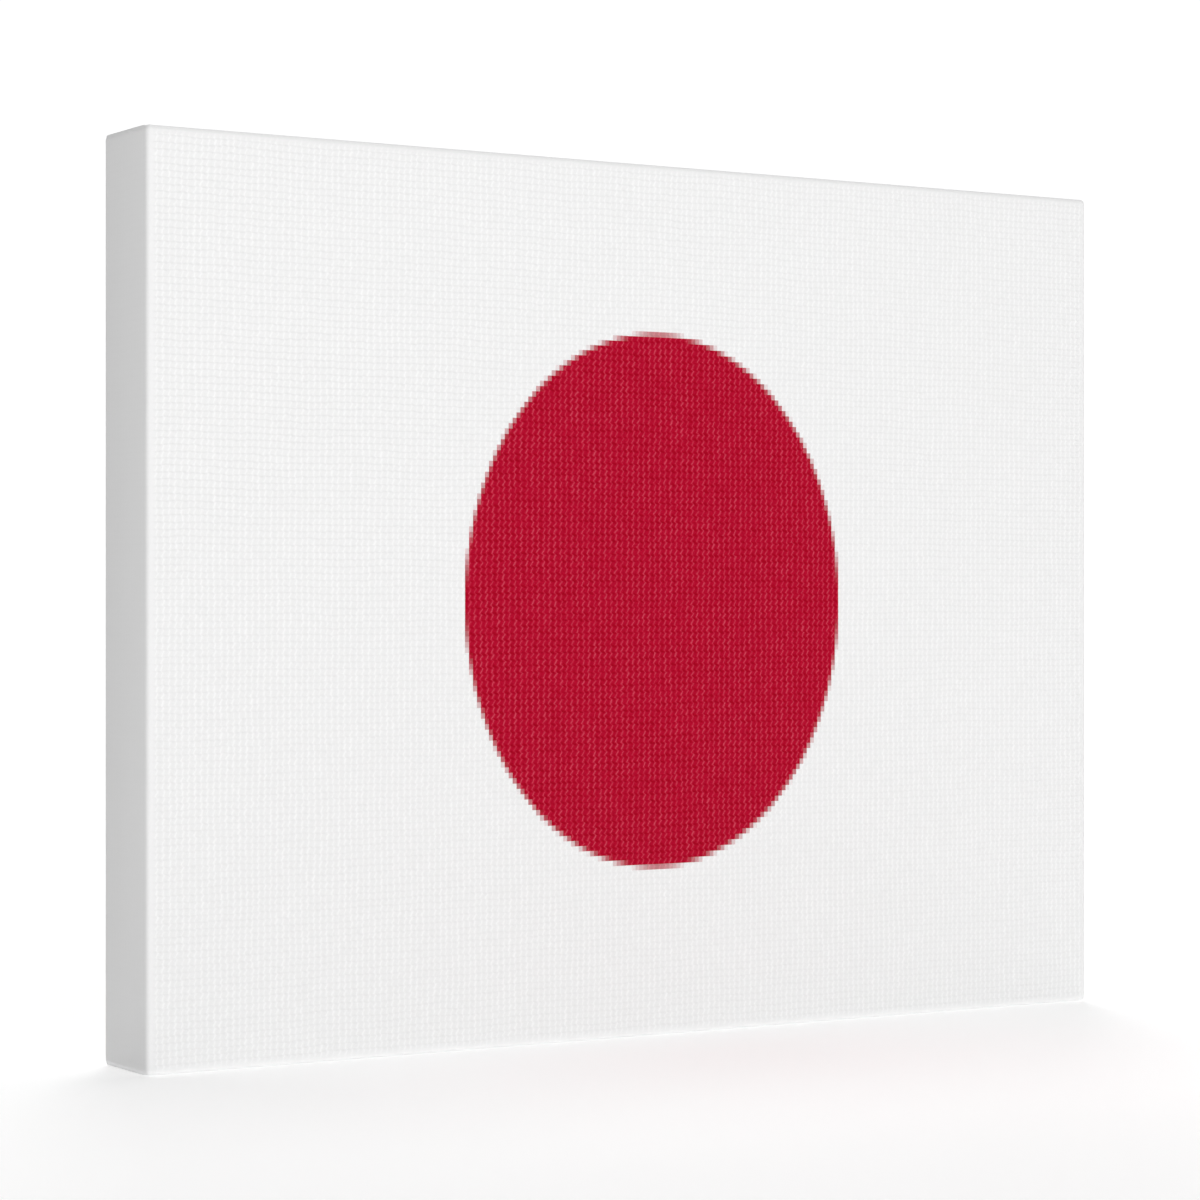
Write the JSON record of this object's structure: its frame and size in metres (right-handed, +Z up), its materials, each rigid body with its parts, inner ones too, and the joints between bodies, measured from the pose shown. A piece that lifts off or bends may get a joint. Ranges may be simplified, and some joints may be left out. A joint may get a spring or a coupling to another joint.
{
  "type": "stretched canvas",
  "caption": "Rectangular gallery-wrapped canvas print with a centred plain disc, stretched over a mitred wooden frame with corner keys, stapled at the back and fitted with a sawtooth hanger.",
  "frame": {"origin": "middle of the bottom edge, half way through the depth of the wrapped cloth", "axes": "the printed face looks along -Y, +X runs along the width to the right as seen from the front, +Z is up"},
  "size_m": [0.3556, 0.0345, 0.2794],
  "materials": {
    "canvas": "matt primed cotton weave with a printed red disc, raw cotton on its back",
    "pine": "planed bare pine",
    "beech": "sawn bare beech",
    "hanger_steel": "bright zinc plate",
    "nail_steel": "bright drawn steel",
    "staple_wire": "galvanised flat wire",
    "rubber": "moulded matt rubber"
  },
  "bodies": {
    "canvas_and_frame": {"canvas": "canvas", "stretcher_bar_top": "pine", "stretcher_bar_bottom": "pine", "stretcher_bar_left": "pine", "stretcher_bar_right": "pine", "sawtooth_hanger": "hanger_steel", "hanger_nail_left": "nail_steel", "hanger_nail_right": "nail_steel", "wall_bumper_left": "rubber", "wall_bumper_right": "rubber", "staple_top_1": "staple_wire", "staple_top_2": "staple_wire", "staple_top_3": "staple_wire", "staple_top_4": "staple_wire", "staple_top_5": "staple_wire", "staple_top_6": "staple_wire", "staple_top_7": "staple_wire", "staple_bottom_1": "staple_wire", "staple_bottom_2": "staple_wire", "staple_bottom_3": "staple_wire", "staple_bottom_4": "staple_wire", "staple_bottom_5": "staple_wire", "staple_bottom_6": "staple_wire", "staple_bottom_7": "staple_wire", "staple_left_1": "staple_wire", "staple_left_2": "staple_wire", "staple_left_3": "staple_wire", "staple_left_4": "staple_wire", "staple_left_5": "staple_wire", "staple_right_1": "staple_wire", "staple_right_2": "staple_wire", "staple_right_3": "staple_wire", "staple_right_4": "staple_wire", "staple_right_5": "staple_wire", "staple_corner_top_left": "staple_wire", "staple_corner_top_right": "staple_wire", "staple_corner_bottom_left": "staple_wire", "staple_corner_bottom_right": "staple_wire"},
    "key_top_left_in_side_bar": {"key_top_left_in_side_bar": "beech"},
    "key_top_left_in_top_bar": {"key_top_left_in_top_bar": "beech"},
    "key_top_right_in_side_bar": {"key_top_right_in_side_bar": "beech"},
    "key_top_right_in_top_bar": {"key_top_right_in_top_bar": "beech"},
    "key_bottom_left_in_side_bar": {"key_bottom_left_in_side_bar": "beech"},
    "key_bottom_left_in_bottom_bar": {"key_bottom_left_in_bottom_bar": "beech"},
    "key_bottom_right_in_side_bar": {"key_bottom_right_in_side_bar": "beech"},
    "key_bottom_right_in_bottom_bar": {"key_bottom_right_in_bottom_bar": "beech"}
  },
  "joints": [
    {"name": "key_top_left_in_side_bar_slide", "type": "slide", "parent": "canvas_and_frame", "child": "key_top_left_in_side_bar", "axis": [-1, 0, 0], "range_m": [-0.022, 0.0025]},
    {"name": "key_top_left_in_top_bar_slide", "type": "slide", "parent": "canvas_and_frame", "child": "key_top_left_in_top_bar", "axis": [0, 0, 1], "range_m": [-0.022, 0.0025]},
    {"name": "key_top_right_in_side_bar_slide", "type": "slide", "parent": "canvas_and_frame", "child": "key_top_right_in_side_bar", "axis": [1, 0, 0], "range_m": [-0.022, 0.0025]},
    {"name": "key_top_right_in_top_bar_slide", "type": "slide", "parent": "canvas_and_frame", "child": "key_top_right_in_top_bar", "axis": [0, 0, 1], "range_m": [-0.022, 0.0025]},
    {"name": "key_bottom_left_in_side_bar_slide", "type": "slide", "parent": "canvas_and_frame", "child": "key_bottom_left_in_side_bar", "axis": [-1, 0, 0], "range_m": [-0.022, 0.0025]},
    {"name": "key_bottom_left_in_bottom_bar_slide", "type": "slide", "parent": "canvas_and_frame", "child": "key_bottom_left_in_bottom_bar", "axis": [0, 0, -1], "range_m": [-0.022, 0.0025]},
    {"name": "key_bottom_right_in_side_bar_slide", "type": "slide", "parent": "canvas_and_frame", "child": "key_bottom_right_in_side_bar", "axis": [1, 0, 0], "range_m": [-0.022, 0.0025]},
    {"name": "key_bottom_right_in_bottom_bar_slide", "type": "slide", "parent": "canvas_and_frame", "child": "key_bottom_right_in_bottom_bar", "axis": [0, 0, -1], "range_m": [-0.022, 0.0025]}
  ]
}
